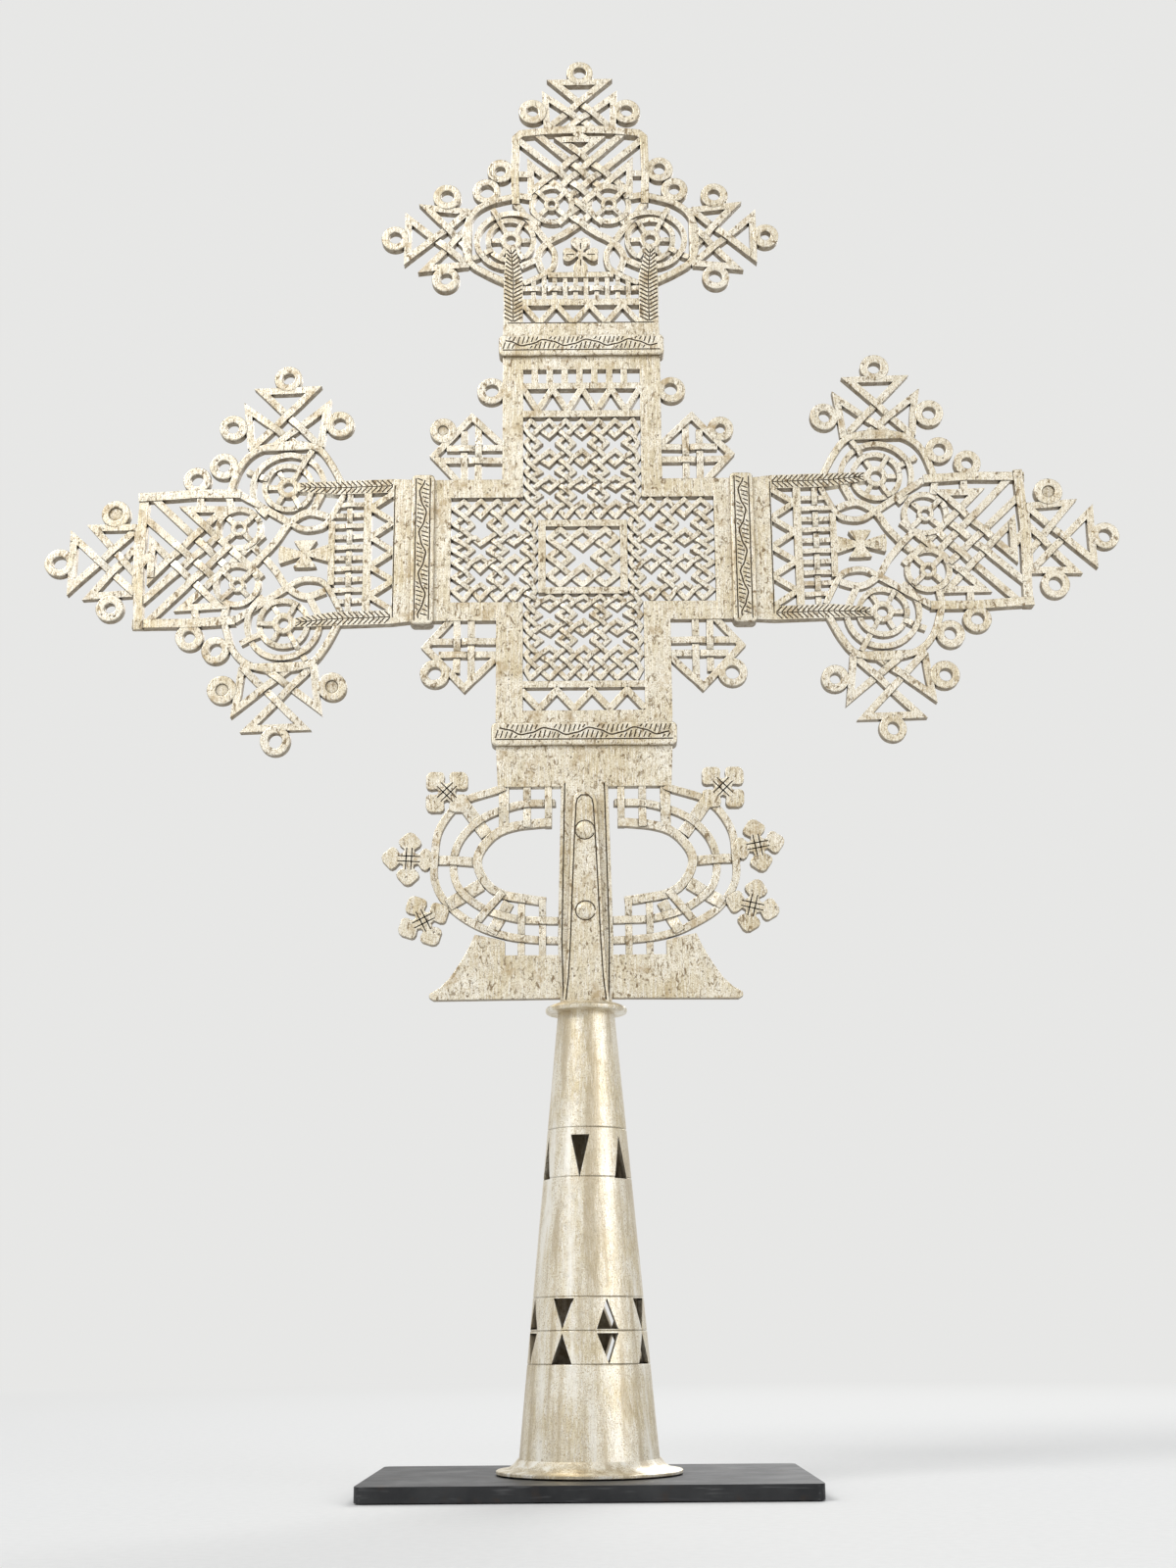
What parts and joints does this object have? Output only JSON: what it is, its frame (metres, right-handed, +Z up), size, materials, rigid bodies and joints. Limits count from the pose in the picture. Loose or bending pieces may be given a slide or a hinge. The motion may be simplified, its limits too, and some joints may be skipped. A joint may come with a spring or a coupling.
{
  "type": "processional cross",
  "caption": "Tall openwork cast processional cross with pierced arms, ring and crest ornament and a conical staff socket, standing on a plug on a flat steel plate.",
  "frame": {"origin": "middle of the stand plate's underside, on the cross's upright axis", "axes": "+Z up along the cross, -Y the front face, +X to the right seen from the front"},
  "size_m": [0.4174, 0.1, 0.5644],
  "materials": {
    "cast_brass": "pale yellowish white cast copper alloy, satin, with dark dirt in pits and cut lines",
    "plate_steel": "dark rolled steel plate with filed bright edges",
    "plug_steel": "turned mild steel"
  },
  "bodies": {
    "stand": {"base_plate": "plate_steel"},
    "plug": {"stand_plug": "plug_steel", "plug_screw": "plug_steel"},
    "cross": {"socket_cone": "cast_brass", "foot_flange": "cast_brass", "neck_collar": "cast_brass", "front_strap": "cast_brass", "back_strap": "cast_brass", "rivet_lower": "cast_brass", "rivet_upper": "cast_brass", "lower_frame": "cast_brass", "centre_panel": "cast_brass", "upper_arm": "cast_brass", "left_arm": "cast_brass", "right_arm": "cast_brass", "band_top": "cast_brass", "band_bottom": "cast_brass", "band_left": "cast_brass", "band_right": "cast_brass"}
  },
  "joints": [
    {"name": "turn", "type": "hinge", "parent": "stand", "child": "plug", "pos_m": [0, 0, 0.0053], "axis": [0, 0, 1], "continuous": true},
    {"name": "lift_off", "type": "slide", "parent": "plug", "child": "cross", "axis": [0, 0, 1], "range_m": [0, 0.1]}
  ]
}
